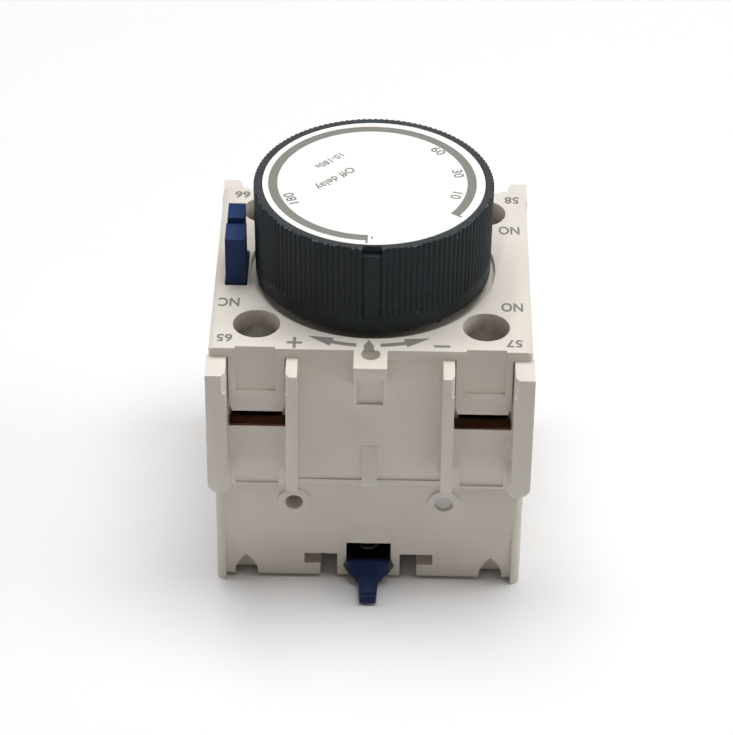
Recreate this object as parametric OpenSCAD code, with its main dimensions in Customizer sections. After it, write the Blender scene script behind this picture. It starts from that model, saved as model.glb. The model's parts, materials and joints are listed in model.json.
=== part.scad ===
// Clip-on pneumatic time delay contact block: two moulded housings, four screw terminals,
// a sprung drive carriage, a delayed contact carrier, a bellows and a calibrated dial knob.
// Millimetres. +Z is up through the dial, -Y is the front with the release latch.

/* [Housing] */
// Width of the top plate, left to right
body_w = 43.5; // [43.5:0.1:53]
// Depth of the top plate, front to rear
body_d = 39.3; // [39.3:0.1:48]
// Height of the top plate above the feet of the side skirts
plate_z = 41; // [38:0.1:50]
// Height of the parting line between the two housings
split_z = 17.7; // [17.05:0.05:18]
// Wall thickness of the upper housing
wall = 1.4; // [1.2:0.05:1.7]
// Thickness of the lip round the top plate
lip_t = 1.5; // [1.2:0.1:2]
// Radius of the upright corners of the upper housing
corner_r = 0.6; // [0.3:0.1:1.2]
// How much narrower the base is on each side
base_inset_x = 0.35; // [0.2:0.05:0.6]
// How far the base's end walls stand back from the upper housing
base_inset_y = 0.3; // [0.2:0.05:0.6]
// Radius of the upright corners of the base
base_corner_r = 1.3; // [0.8:0.1:1.5]
// How far the side skirts reach below the seating face
skirt_h = 0.6; // [0.3:0.1:1]
// Thickness of the side skirts
skirt_t = 1.3; // [1:0.1:1.6]
// How far the foot of each end wall leans back between the skirts
wall_lean = 0.9; // [0.3:0.1:1]
// Height at which the end walls start to lean back
lean_z = 11; // [9:0.5:12]

/* [Guards, ribs and lug] */
// How far the finger guards and ribs stand out from the end walls
guard_reach = 4.33; // [4.1:0.01:5.4]
// How far the guards stand out sideways past the top plate
guard_flare = 0.25; // [0:0.05:0.5]
// Distance from the plate's side to the inner face of a guard
guard_in = 2.4; // [2:0.1:3]
// Height of the lower end of the guards
guard_foot_z = 19.6; // [18.5:0.1:23]
// Radius of the guards' outer lower corner
guard_foot_r = 1.6; // [0.5:0.1:2]
// Thickness of a rib
rib_t = 1.55; // [1.2:0.05:2]
// Height of the lower end of the ribs
rib_foot_z = 20.1; // [19:0.1:23]
// Width of the locating lug at the front
lug_w = 4.5; // [3.5:0.1:6]
// How far the lug stands out from the front wall
lug_reach = 4.15; // [3:0.05:4.3]
// Height of the lug's lower end below the top plate
lug_drop = 6.7; // [4:0.1:8]
// Radius of the blind hole in the lug
lug_hole_r = 1.32; // [0.8:0.02:1.5]

/* [Terminals] */
// Distance from the plate's side to a terminal screw's axis
terminal_in_x = 6.23; // [6:0.01:6.5]
// Distance from the plate's end to a terminal screw's axis
terminal_in_y = 5.72; // [5.5:0.01:6]
// Radius of the screwdriver holes in the top plate
driver_hole_r = 3.21; // [3:0.01:3.4]
// Width of a terminal bay between guard and rib
bay_w = 8.05; // [7.6:0.05:8.2]
// Height of the top of the wire entry below the top plate
entry_top_drop = 10.5; // [9:0.1:12]
// Height of the wire entry
entry_h = 2.6; // [2:0.1:3.5]
// Thickness of a terminal plate
terminal_t = 1; // [0.8:0.1:1.2]
// Width of the part of a terminal plate that holds the contact
terminal_neck_w = 3; // [2:0.1:3.2]
// Radius of a terminal screw's shank
screw_r = 1.7; // [1.2:0.05:1.9]
// Radius of a terminal screw's head
screw_head_r = 2.9; // [2.4:0.05:3.1]
// Height of a terminal screw's head
screw_head_h = 2.2; // [1.5:0.1:3]
// Thickness of a clamp plate
clamp_t = 1.2; // [0.8:0.1:1.4]
// Side of a square clamp plate
clamp_w = 6.4; // [6:0.1:6.6]

/* [Knob and dial] */
// Outer radius of the knob
knob_r = 16.4; // [13.5:0.01:16.4]
// Height of the knob's top above the top plate
knob_rise = 14.07; // [12:0.01:18]
// Gap under the knob's skirt, above the top plate
knob_lift = 0.35; // [0.2:0.05:0.5]
// Wall thickness of the knob's skirt
knob_wall = 1.9; // [1.5:0.1:2.4]
// Thickness of the knob's top under the dial
knob_top_t = 2.2; // [1.6:0.1:3]
// Radial gap between the knob and its recess
recess_gap = 0.57; // [0.4:0.01:0.7]
// Depth of the knob's recess in the top plate
recess_depth = 1; // [0.8:0.1:1.5]
// Thickness of the floor of the recess
recess_floor_t = 1.7; // [1.2:0.1:2]
// Radius of the dial disc
dial_r = 15.2; // [11:0.05:15.3]
// Thickness of the dial disc
dial_t = 0.35; // [0.2:0.05:0.6]
// Turn of the knob between its stops, in degrees
knob_turn = 300; // [180:1:310]
// Radius of the adjusting spindle
spindle_r = 2.5; // [1.8:0.1:3]

/* [Drive and contacts] */
// Travel of the drive carriage
drive_travel = 3.5; // [2.5:0.1:3.6]
// Travel of the contact carrier
contact_travel = 1.6; // [1:0.1:2]
// Outer radius of the bellows
bellows_r = 9; // [7:0.1:9.6]
// Number of folds in the bellows
bellows_folds = 6; // [4:1:8]
// Side of the square drive carriage plate
carriage_w = 18; // [17:0.1:19]
// Thickness of the drive carriage plate
carriage_t = 2; // [1.5:0.1:2.5]
// Width of the coupling hook
hook_w = 4.8; // [3.5:0.1:5]
// Depth of the coupling hook
hook_d = 8; // [6:0.1:9]
// Width of the position indicator
indicator_w = 2.8; // [2.2:0.05:2.85]
// Depth of the position indicator
indicator_d = 8.05; // [6:0.05:9]
// Height of the indicator's lower half above the top plate
indicator_rise = 7.42; // [6:0.02:9]

/* [Latch and rail slots] */
// Width of the latch window
window_w = 6.26; // [5.5:0.02:6.3]
// Height of the top of the latch window
window_z = 7.5; // [7:0.1:8]
// Travel of the latch
latch_travel = 1.8; // [1:0.1:2]
// How far the latch's tongue stands out past the upper housing
latch_reach = 4.85; // [4.4:0.05:6]
// Width of the latch's tongue at its tip
latch_tip_w = 2.3; // [1.8:0.1:2.6]
// Distance from the middle to the inner side of a rail slot
rail_x = 4.4; // [4.3:0.1:4.8]
// Width of the upright part of a rail slot
rail_w = 2.4; // [2:0.1:2.6]
// Width of the hooked part of a rail slot
rail_hook_w = 2.25; // [1.5:0.05:2.5]
// Height of the top of a rail slot
rail_z = 4.75; // [4.4:0.05:4.9]
// Height of the hooked part of a rail slot
rail_hook_h = 2; // [1.5:0.1:2.4]

/* [Hidden] */
$fn = 64;
fine = 96;
eps = 0.01;
slip = 0.1;

// The whole is centred on its own box: the latch's tongue reaches further than the rear guards.
y_shift = (latch_reach - guard_reach) / 2;
half_w = body_w / 2;
half_d = body_d / 2;
lip_z = plate_z - lip_t;
recess_z = plate_z - recess_depth;
ceiling_z = recess_z - recess_floor_t;
inner_x = half_w - wall;
inner_y = half_d - wall;

bay_x1 = half_w - guard_in;
bay_x0 = bay_x1 - bay_w;
rib_x0 = bay_x0 - rib_t;
terminal_x = half_w - terminal_in_x;
terminal_y = half_d - terminal_in_y;
entry_z1 = plate_z - entry_top_drop;
entry_z0 = entry_z1 - entry_h;
entry_side = 0.1;
plate_gap = 0.05;
terminal_z0 = entry_z0 - terminal_t;
tower_wall = 1.2;
pocket_w = 7.05;
pocket_d = 7.7;
pocket_y0 = inner_y + 0.1 - pocket_d;
tower_x0 = terminal_x - pocket_w / 2 - tower_wall;
tower_y0 = pocket_y0 - tower_wall;
ledge_w = 1;
pocket_drop = 5.4;
clamp_z0 = entry_z0 + 0.9;
head_z0 = clamp_z0 + clamp_t + plate_gap;

base_w = body_w - 2 * base_inset_x;
base_d = body_d - 2 * base_inset_y;
base_wall = 1.4;
base_in_x = base_w / 2 - base_wall;
base_in_y = base_d / 2 - base_wall;
floor_z = rail_z + 1.45;
floor_half_w = rail_x + rail_w + rail_hook_w + 1.2;
side_floor_z = skirt_h + 2.4;
boss_x = 10.4;
boss_z = 14.6;
boss_r = 2.3;
boss_hole_r = 1.25;
boss_len = 6.5;
pin_r = 1.2;

carriage_z0 = floor_z + drive_travel + 0.5;
carriage_z1 = carriage_z0 + carriage_t;
hook_z0 = drive_travel + 0.2;
guide_gap = 0.25;
spring_seat_x = 6;
spring_seat_r = 1.9;
spring_seat_z = carriage_z1 + 1;
pedestal_r = 3.6;
bellows_plate_t = 1;
bellows_plate_z = carriage_z1 + 3.8;
bellows_z0 = bellows_plate_z + bellows_plate_t;
head_t = 1.5;
head_z = ceiling_z - head_t;
head_r = bellows_r + 2.4;
neck_r = 6;
neck_z = recess_z + 1.5;

ring_z0 = carriage_z1 + 2;
ring_t = 2;
ring_in_r = bellows_r + 1;
ring_out_r = ring_in_r + 2.4;
post_w = 3.2;
post_d = 4.8;
tip_r = 0.9;
tip_h = 0.6;
tip_y = 6.3;
bridge_t = 0.8;
bridge_w = 2.6;
contact_gap = 0.1;
open_bridge_z0 = entry_z0 + 2 * tip_h + contact_travel + contact_gap;
closed_bridge_z1 = terminal_z0 - 2 * tip_h - contact_gap;
contact_spring_h = 3;

indicator_x0 = -inner_x + 0.15;
indicator_x1 = indicator_x0 + indicator_w;
indicator_y0 = -4.8;
indicator_y1 = indicator_y0 + indicator_d;
indicator_step = 0.65;
indicator_split_y = indicator_y0 + indicator_d / 2;
indicator_gap = 0.15;
indicator_foot_z = recess_z;
stem_t = 1.5;
stem_y0 = -2.5;
stem_y1 = 1.5;
stem_x0 = -base_in_x + 0.3;

knob_z0 = plate_z + knob_lift;
knob_z1 = plate_z + knob_rise;
knob_in_r = knob_r - knob_wall;
dial_z0 = knob_z1 - dial_t - 0.05;
knob_ceiling_z = dial_z0 - knob_top_t;
stop_peg_half = 9;
stop_gap = 1.5;
stop_tab_half = (360 - knob_turn) / 2 - stop_peg_half - stop_gap;
stop_r0 = knob_in_r - 3;
stop_z1 = recess_z + 3.2;
timing_disc_r = 5.6;
timing_disc_t = 1.6;
timing_disc_z = neck_z + 0.1;
hub_r = 3.9;
hub_z0 = timing_disc_z + timing_disc_t + 1;
spindle_z0 = head_z - 1.9;
clip_z0 = head_z - 1;
clip_t = 0.6;

latch_pocket_y = 12.3;
latch_pocket_z = 9.8;
latch_top_z = 4.2;
latch_body_z0 = 2.2;
latch_spring_y = -16.2;
latch_front_y = half_d + latch_reach;

shell_white = [0.93, 0.92, 0.89];
charcoal = [0.16, 0.18, 0.20];
navy = [0.14, 0.22, 0.45];
grey = [0.55, 0.56, 0.57];
brass = [0.78, 0.62, 0.33];
copper = [0.55, 0.28, 0.18];
zinc = [0.72, 0.73, 0.75];
silver = [0.88, 0.88, 0.88];
black = [0.07, 0.07, 0.08];

// ---- shared shapes -------------------------------------------------------

module place() { translate([0, y_shift, 0]) children(); }

module block(lo, hi) { translate(lo) cube(hi - lo); }

module tube(r_out, r_in, z0, z1) {
    translate([0, 0, z0]) difference() {
        cylinder(r = r_out, h = z1 - z0, $fn = fine);
        translate([0, 0, -1]) cylinder(r = r_in, h = z1 - z0 + 2, $fn = fine);
    }
}

module disc(r, z0, z1) { translate([0, 0, z0]) cylinder(r = r, h = z1 - z0, $fn = fine); }

// A rectangle with rounded corners, centred
module round_rect(w, d, r) {
    square([w - 2 * r, d], center = true);
    square([w, d - 2 * r], center = true);
    for (sx = [-1, 1], sy = [-1, 1])
        translate([sx * (w / 2 - r), sy * (d / 2 - r)]) circle(r = r);
}

module round_block(w, d, r, z0, z1) {
    translate([0, 0, z0]) linear_extrude(z1 - z0) round_rect(w, d, r);
}

// An outline in X and Z, drawn out along Y
module along_y(y0, y1) { translate([0, y1, 0]) rotate([90, 0, 0]) linear_extrude(y1 - y0) children(); }

// An outline in Y and Z, drawn out along X
module along_x(x0, x1) { translate([x0, 0, 0]) rotate([90, 0, 90]) linear_extrude(x1 - x0) children(); }

module both_ends() { for (end = [0, 1]) mirror([0, end, 0]) children(); }

module both_sides() { for (side = [0, 1]) mirror([side, 0, 0]) children(); }

module four_corners() { both_sides() both_ends() children(); }

// A stretch of a ring, its middle at the given angle
module ring_sector(r0, r1, z0, z1, half_angle, mid_angle) {
    reach = r1 * 2;
    rotate(mid_angle) intersection() {
        tube(r1, r0, z0, z1);
        translate([0, 0, z0]) linear_extrude(z1 - z0) polygon([
            [0, 0],
            [reach * cos(half_angle), -reach * sin(half_angle)],
            [reach * cos(half_angle), reach * sin(half_angle)]
        ]);
    }
}

// A coil spring on +Z: one swept wire with a ring of points every thirtieth part of a turn or so
module coil(r, wire_r, z0, z1, turns, sides = 6, steps = 12) {
    rise = z1 - z0 - 2 * wire_r;
    n = turns * steps;
    points = [for (i = [0:n], k = [0:sides - 1])
        let (a = 360 * i / steps, b = 360 * k / sides, q = r + wire_r * cos(b))
        [q * cos(a), q * sin(a), z0 + wire_r + rise * i / n + wire_r * sin(b)]];
    sides_faces = [for (i = [0:n - 1], k = [0:sides - 1])
        let (k2 = (k + 1) % sides)
        [i * sides + k, (i + 1) * sides + k, (i + 1) * sides + k2, i * sides + k2]];
    caps = [[for (k = [0:sides - 1]) k], [for (k = [sides - 1:-1:0]) n * sides + k]];
    polyhedron(points, concat(sides_faces, caps), convexity = 4);
}

// ---- upper housing -------------------------------------------------------

// A finger guard at one corner, its outer lower corner rounded and its inner front edge bevelled
module guard() {
    lead = 0.5;
    x1 = half_w + guard_flare;
    y1 = half_d + guard_reach;
    difference() {
        along_y(half_d - 0.5, y1) {
            translate([bay_x1, guard_foot_z])
                square([x1 - bay_x1 - guard_foot_r, lip_z - guard_foot_z]);
            translate([bay_x1, guard_foot_z + guard_foot_r])
                square([x1 - bay_x1, lip_z - guard_foot_z - guard_foot_r]);
            translate([x1 - guard_foot_r, guard_foot_z + guard_foot_r]) circle(r = guard_foot_r);
        }
        translate([0, 0, lip_z - 3]) linear_extrude(4) polygon([
            [bay_x1 - 1, y1 - lead], [bay_x1, y1 - lead - 0.4],
            [bay_x1 + lead, y1 + eps], [bay_x1 - 1, y1 + eps]
        ]);
        // finger grooves on the outside of the guard
        for (groove_y = [1.3, 2.6]) translate([x1, half_d + groove_y, 0])
            block([-0.25, 0, guard_foot_z - 1], [1, 0.5, lip_z - 2]);
    }
}

module rib() {
    lead = 0.45;
    y1 = half_d + guard_reach;
    difference() {
        block([rib_x0, half_d - 0.5, rib_foot_z], [bay_x0, y1, lip_z]);
        translate([0, 0, lip_z - 3]) linear_extrude(4) polygon([
            [bay_x0 + 1, y1 - lead], [bay_x0, y1 - lead - 0.4],
            [bay_x0 - lead, y1 + eps], [bay_x0 + 1, y1 + eps]
        ]);
    }
}

// The solid corner that carries a terminal
module terminal_tower() {
    block([tower_x0, tower_y0, split_z], [half_w - corner_r, half_d - 0.5, ceiling_z + eps]);
}

// Everything cut out of one corner: the screw pocket, the wire entry and the wall's relief
module terminal_cuts() {
    pocket_x0 = terminal_x - pocket_w / 2;
    pocket_x1 = terminal_x + pocket_w / 2;
    pocket_y1 = pocket_y0 + pocket_d;
    ledge_z = terminal_z0 - plate_gap;
    neck_half = terminal_neck_w / 2 + slip;
    translate([terminal_x, terminal_y, ceiling_z - 1])
        cylinder(r = driver_hole_r, h = plate_z - ceiling_z + 2);
    block([pocket_x0, pocket_y0, ledge_z], [pocket_x1, pocket_y1, ceiling_z]);
    block([pocket_x0 + ledge_w, pocket_y0 + ledge_w, ledge_z - pocket_drop],
        [pocket_x1 - ledge_w, pocket_y1 - ledge_w, ledge_z + eps]);
    block([terminal_x - neck_half, tower_y0 - 1, ledge_z],
        [terminal_x + neck_half, pocket_y0 + 1, entry_z0 + plate_gap]);
    block([bay_x0 + entry_side, pocket_y1 - 1, entry_z0], [bay_x1 - entry_side, half_d + 1, entry_z1]);
    tab_relief();
}

// The tab over the wire entry: side gaps, cut lower corners, a sunk pad and a sunk panel below
module tab_relief() {
    gap = 0.22;
    gap_depth = 0.9;
    pad_x0 = bay_x0 + 1.5;
    pad_x1 = bay_x1 - 1.15;
    pad_z = plate_z - 7.3;
    panel_z1 = entry_z0 - 2.9;
    face = half_d + 1;
    for (x = [bay_x0, bay_x1 - gap])
        block([x, half_d - gap_depth, entry_z0], [x + gap, face, lip_z]);
    along_y(half_d - gap_depth, face) polygon([
        [bay_x1 + eps, entry_z1 - eps], [bay_x1 + eps, entry_z1 + 2], [bay_x1 - gap, entry_z1 + 2],
        [bay_x1 - 0.6, entry_z1 - eps]
    ]);
    along_y(half_d - gap_depth, face) polygon([
        [bay_x0 - eps, entry_z1 - eps], [bay_x0 - eps, entry_z1 + 1.2], [bay_x0 + gap, entry_z1 + 1.2],
        [bay_x0 + 0.6, entry_z1 - eps]
    ]);
    block([pad_x0, half_d - 0.45, pad_z], [pad_x1, face, plate_z + 1]);
    along_x(pad_x0 + 1.3, pad_x1 - 1.1) polygon([
        [half_d - 0.5, pad_z + 0.3], [half_d - 0.5, pad_z], [face, pad_z - 1.2], [face, pad_z + 0.3]
    ]);
    block([bay_x0 + 1.25, half_d - 0.3, split_z + 0.25], [bay_x1 - 0.9, face, panel_z1]);
}

// The sunk panel between the ribs, with a deeper groove along its foot
module panel_relief() {
    foot_z = split_z + 0.85;
    block([-rib_x0, half_d - base_inset_y, split_z - 1], [rib_x0, half_d + 1, lip_z]);
    block([-rib_x0, half_d - 0.5, foot_z], [rib_x0, half_d + 1, foot_z + 0.9]);
}

// The tapered rib in the middle of the panel's foot
module panel_rib() {
    rib_w = 2.1;
    top_z = split_z + 6.85;
    foot_z = split_z + 0.1;
    along_x(-rib_w / 2, rib_w / 2) polygon([
        [half_d - 0.8, top_z], [half_d - base_inset_y + 0.05, top_z], [half_d + 0.25, foot_z + 1],
        [half_d + 0.25, foot_z], [half_d - 0.8, foot_z]
    ]);
}

// The lug over the middle of the front wall: a flat tongue with a framed block under it
module lug() {
    undercut = 0.35;
    frame = 0.4;
    sunk = 0.35;
    front = half_d + lug_reach;
    foot_z = plate_z - lug_drop;
    block_w = lug_w - 0.2;
    foot_r = 0.8;
    difference() {
        union() {
            block([-lug_w / 2, half_d - 0.5, lip_z], [lug_w / 2, front, plate_z]);
            along_y(half_d - 0.5, front - undercut) {
                translate([-block_w / 2, foot_z + foot_r]) square([block_w, lip_z - foot_z - foot_r + eps]);
                translate([-block_w / 2 + foot_r, foot_z]) square([block_w - 2 * foot_r, lip_z - foot_z]);
                for (s = [-1, 1])
                    translate([s * (block_w / 2 - foot_r), foot_z + foot_r]) circle(r = foot_r);
            }
        }
        block([-block_w / 2 + frame, front - undercut - sunk, foot_z + frame],
            [block_w / 2 - frame, front + 1, lip_z - 0.4]);
        translate([0, half_d + 0.85, plate_z - 2.2]) cylinder(r = lug_hole_r, h = 3);
    }
}

// The narrow bevels along the two long edges of the top plate
module plate_bevels() {
    bevel_w = 0.7;
    bevel_h = 0.3;
    both_sides() along_y(-half_d - 1, half_d + 1) polygon([
        [half_w - bevel_w, plate_z], [half_w + 1, plate_z - bevel_h * (bevel_w + 1) / bevel_w],
        [half_w + 1, plate_z + 1], [half_w - bevel_w, plate_z + 1]
    ]);
}

module upper_housing() color(shell_white) place() {
    difference() {
        union() {
            difference() {
                round_block(body_w, body_d, corner_r, split_z, plate_z);
                block([-inner_x, -inner_y, split_z - 1], [inner_x, inner_y, ceiling_z]);
                both_ends() panel_relief();
                plate_bevels();
            }
            four_corners() terminal_tower();
            four_corners() guard();
            four_corners() rib();
            both_ends() panel_rib();
            mirror([0, 1, 0]) lug();
        }
        disc(knob_r + recess_gap, recess_z, plate_z + 1);
        disc(neck_r + slip, ceiling_z - 1, recess_z + 1);
        four_corners() terminal_cuts();
        block([indicator_x0 - indicator_gap, indicator_y0 - indicator_gap, ceiling_z - 1],
            [indicator_x1 + indicator_gap, indicator_y1 + indicator_gap, plate_z + 1]);
    }
    ring_sector(stop_r0 + 0.2, knob_in_r - 0.3, recess_z - eps, stop_z1 - 0.5, stop_peg_half, 90);
}

// ---- base housing --------------------------------------------------------

// The wedge between the skirts by which an end wall leans back
module wall_lean_cut() {
    y1 = base_d / 2;
    along_x(-base_w / 2 + skirt_t, base_w / 2 - skirt_t) polygon([
        [y1 + eps, lean_z], [y1 - wall_lean, skirt_h], [y1 - wall_lean, -1], [y1 + 2, -1], [y1 + 2, lean_z]
    ]);
}

// The outline of a rail slot: an upright leg open below, with a hook at its top
module rail_slot_outline() {
    square_foot = -1;
    translate([rail_x, square_foot]) square([rail_w, rail_z - square_foot]);
    translate([rail_x, rail_z - rail_hook_h]) square([rail_w + rail_hook_w, rail_hook_h]);
}

// A pointed notch in the foot of an end wall
module arch_outline() {
    arch_w = 3.3;
    arch_z = 4.3;
    arch_r = 5.2;
    translate([half_w - 4.5, 0]) intersection() {
        translate([-arch_w / 2, -1]) square([arch_w, arch_z + 1]);
        translate([arch_r - arch_w / 2, skirt_h]) circle(r = arch_r);
        translate([-arch_r + arch_w / 2, skirt_h]) circle(r = arch_r);
    }
}

// The latch window: square above, spreading to a seat with bevelled sides below
module window_outline() {
    side = window_w / 2;
    seat = side + 0.45;
    mouth = side - 0.5;
    seat_z = 2.4;
    polygon([
        [-side, window_z], [side, window_z], [side, seat_z + 1.5], [seat, seat_z], [mouth, skirt_h - 0.2],
        [mouth, -1], [-mouth, -1], [-mouth, skirt_h - 0.2], [-seat, seat_z], [-side, seat_z + 1.5]
    ]);
}

// The sloping brow over the latch window
module window_brow() {
    brow_h = 1.9;
    brow_reach = 0.35;
    y1 = base_d / 2;
    along_x(-window_w / 2, window_w / 2) polygon([
        [y1 - 0.5, window_z], [y1 + brow_reach, window_z], [y1, window_z + brow_h],
        [y1 - 0.5, window_z + brow_h]
    ]);
}

module base_shell() {
    difference() {
        round_block(base_w, base_d, base_corner_r, 0, split_z);
        block([-floor_half_w, -base_in_y, floor_z], [floor_half_w, base_in_y, split_z + 1]);
        both_sides()
            block([floor_half_w - eps, -base_in_y, side_floor_z], [base_in_x, base_in_y, split_z + 1]);
        block([-base_w / 2 + skirt_t, -base_d, -1], [base_w / 2 - skirt_t, base_d, skirt_h]);
        difference() {
            both_ends() wall_lean_cut();
            block([-window_w / 2 - 0.5, -base_d, window_z], [window_w / 2 + 0.5, 0, lean_z + 1]);
        }
    }
}

// The pocket that guides the latch and holds its spring
module latch_pocket_walls() {
    t = 1.2;
    block([-window_w / 2 - t, -base_d / 2 + 1, floor_z - 2],
        [window_w / 2 + t, -latch_pocket_y + t, latch_pocket_z + t]);
}

module latch_pocket() {
    ledge = 0.48;
    side = window_w / 2;
    block([-side, -base_in_y - eps, latch_body_z0 - 0.1], [side, -latch_pocket_y, latch_pocket_z]);
    block([-side + ledge, -base_in_y - eps, -1], [side - ledge, -latch_pocket_y, latch_body_z0]);
    along_y(-base_d / 2 - 1, -base_in_y + 0.5) window_outline();
}

// Bosses for the assembly pins, with a raised ring outside and a blind hole
module boss() {
    ring_h = 0.25;
    translate([boss_x, base_d / 2, boss_z]) rotate([90, 0, 0]) {
        translate([0, 0, -ring_h]) cylinder(r = boss_r, h = 1);
        cylinder(r = boss_r - 0.2, h = boss_len + 1);
    }
}

module boss_hole() {
    translate([boss_x, base_d / 2 + 1, boss_z]) rotate([90, 0, 0])
        cylinder(r = boss_hole_r, h = boss_len + 1);
}

// Tongues that register the upper housing on the base
module register_tongues() {
    t = 0.8;
    z0 = split_z - 3;
    z1 = split_z + 1.4;
    four_corners() block([base_in_x - t + 0.1, 5, z0], [base_in_x + 0.1, 8.2, z1]);
    both_ends() block([-7.5, base_in_y - t + 0.1, z0], [7.5, base_in_y + 0.1, z1]);
}

module base_housing() color(shell_white) place() {
    opening_x = hook_w / 2 + guide_gap;
    opening_y = hook_d / 2 + guide_gap;
    difference() {
        union() {
            base_shell();
            mirror([0, 1, 0]) window_brow();
            latch_pocket_walls();
            four_corners() boss();
            register_tongues();
        }
        both_sides() along_y(-base_d, base_d) rail_slot_outline();
        both_ends() both_sides() along_y(base_d / 2 - 2.6, base_d) arch_outline();
        latch_pocket();
        block([-opening_x, -opening_y, -1], [opening_x, opening_y, floor_z + 1]);
        block([-rail_x + 1.2, opening_y + 1.2, skirt_h + 1.5], [rail_x - 1.2, base_in_y, floor_z + 1]);
        four_corners() boss_hole();
    }
}

// Two plain pins, in opposite bosses, that hold the moulding together
module assembly_pins() color(grey) place()
    for (turn = [0, 180]) rotate(turn) translate([boss_x, -base_d / 2 + 0.15, boss_z])
        rotate([-90, 0, 0]) cylinder(r = pin_r, h = boss_len - 0.4, $fn = fine);

// ---- terminals -----------------------------------------------------------

// Puts a shape that is drawn at the rear right corner at the corner asked for
module corner(side, end) {
    place() mirror([side < 0 ? 1 : 0, 0, 0]) mirror([0, end < 0 ? 1 : 0, 0]) children();
}

module terminal(side, end) color(brass) corner(side, end) {
    half_pad = pocket_w / 2 - slip;
    lip_y = pocket_y0 + pocket_d - slip;
    lip_h = 0.35;
    difference() {
        union() {
            block([terminal_x - half_pad, pocket_y0 + slip, terminal_z0],
                [terminal_x + half_pad, pocket_y0 + pocket_d - slip, entry_z0]);
            block([terminal_x - terminal_neck_w / 2, tip_y - 1.2, terminal_z0],
                [terminal_x + terminal_neck_w / 2, pocket_y0 + 1, entry_z0]);
            // the lip that lines the foot of the wire entry
            block([terminal_x - half_pad, lip_y - 0.7, entry_z0 - eps],
                [terminal_x + half_pad, lip_y, entry_z0 + lip_h]);
            block([bay_x0 + entry_side + 0.1, lip_y - 0.7, entry_z0 + 0.02],
                [bay_x1 - entry_side - 0.1, half_d - 0.1, entry_z0 + lip_h]);
        }
        translate([terminal_x, terminal_y, terminal_z0 - 1]) cylinder(r = screw_r + 0.05, h = terminal_t + 2);
    }
}

module clamp(side, end) color(copper) corner(side, end) difference() {
    translate([terminal_x, terminal_y, clamp_z0]) linear_extrude(clamp_t) round_rect(clamp_w, clamp_w, 0.8);
    translate([terminal_x, terminal_y, clamp_z0 - 1]) cylinder(r = screw_r + 0.2, h = clamp_t + 2);
}

// A cross-slotted terminal screw
module screw(side, end) color(zinc) corner(side, end) translate([terminal_x, terminal_y, 0]) {
    slot_w = 0.9;
    slot_depth = 1.3;
    head_z1 = head_z0 + screw_head_h;
    difference() {
        union() {
            disc(screw_r, terminal_z0 - 3.6, head_z0 + 0.5);
            disc(screw_head_r - 0.3, head_z0, head_z1);
            disc(screw_head_r, head_z0, head_z1 - 0.3);
        }
        for (turn = [0, 90]) rotate(turn) translate([0, 0, head_z1])
            block([-screw_head_r - 1, -slot_w / 2, -slot_depth], [screw_head_r + 1, slot_w / 2, 1]);
    }
}

// ---- contacts ------------------------------------------------------------

module tip(x, y, z0) { translate([x, y, z0]) cylinder(r = tip_r, h = tip_h); }

module fixed_contact_tips() color(silver) place() for (s = [-1, 1]) {
    tip(terminal_x, s * tip_y, entry_z0);
    tip(-terminal_x, s * tip_y, terminal_z0 - tip_h);
}

module moving_contact_tips() color(silver) place() for (s = [-1, 1]) {
    tip(terminal_x, s * tip_y, open_bridge_z0 - tip_h);
    tip(-terminal_x, s * tip_y, closed_bridge_z1);
}

module bridge(x, z0) {
    block([x - bridge_w / 2, -tip_y - 1.1, z0], [x + bridge_w / 2, tip_y + 1.1, z0 + bridge_t]);
}

module bridge_open() color(brass) place() bridge(terminal_x, open_bridge_z0);

module bridge_closed() color(brass) place() bridge(-terminal_x, closed_bridge_z1 - bridge_t);

module contact_spring(x, z0) { translate([x, 0, z0 + 0.02]) coil(1, 0.17, 0, contact_spring_h - 0.04, 5); }

module contact_spring_open() color(zinc) place()
    contact_spring(terminal_x, open_bridge_z0 + bridge_t);

module contact_spring_closed() color(zinc) place()
    contact_spring(-terminal_x, closed_bridge_z1 - bridge_t - contact_spring_h);

// A slotted post that holds one bridge and its spring
module post(x, z1, window_z0, window_z1) {
    cheek = 0.15;
    difference() {
        block([x - post_w / 2, -post_d / 2, ring_z0], [x + post_w / 2, post_d / 2, z1]);
        block([x - bridge_w / 2 - cheek, -post_d, window_z0], [x + bridge_w / 2 + cheek, post_d, window_z1]);
    }
    // cheeks joined outside the window
    for (s = [-1, 1]) block([x + s * (post_w / 2 + 0.15) - 0.3, -post_d / 2, ring_z0],
        [x + s * (post_w / 2 + 0.15) + 0.3, post_d / 2, z1]);
}

module contact_carrier() color(charcoal) place() {
    open_top = open_bridge_z0 + bridge_t + contact_spring_h;
    closed_foot = closed_bridge_z1 - bridge_t - contact_spring_h;
    difference() {
        union() {
            disc(ring_out_r, ring_z0, ring_z0 + ring_t);
            block([-terminal_x - post_w / 2, -post_d / 2, ring_z0],
                [terminal_x + post_w / 2, post_d / 2, ring_z0 + ring_t]);
        }
        disc(ring_in_r, ring_z0 - 1, ring_z0 + ring_t + 1);
    }
    post(terminal_x, open_top + 1, open_bridge_z0 - 0.05, open_top + 0.05);
    post(-terminal_x, closed_bridge_z1 + 1, closed_foot - 0.05, closed_bridge_z1 + 0.05);
}

// ---- drive ---------------------------------------------------------------

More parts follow.
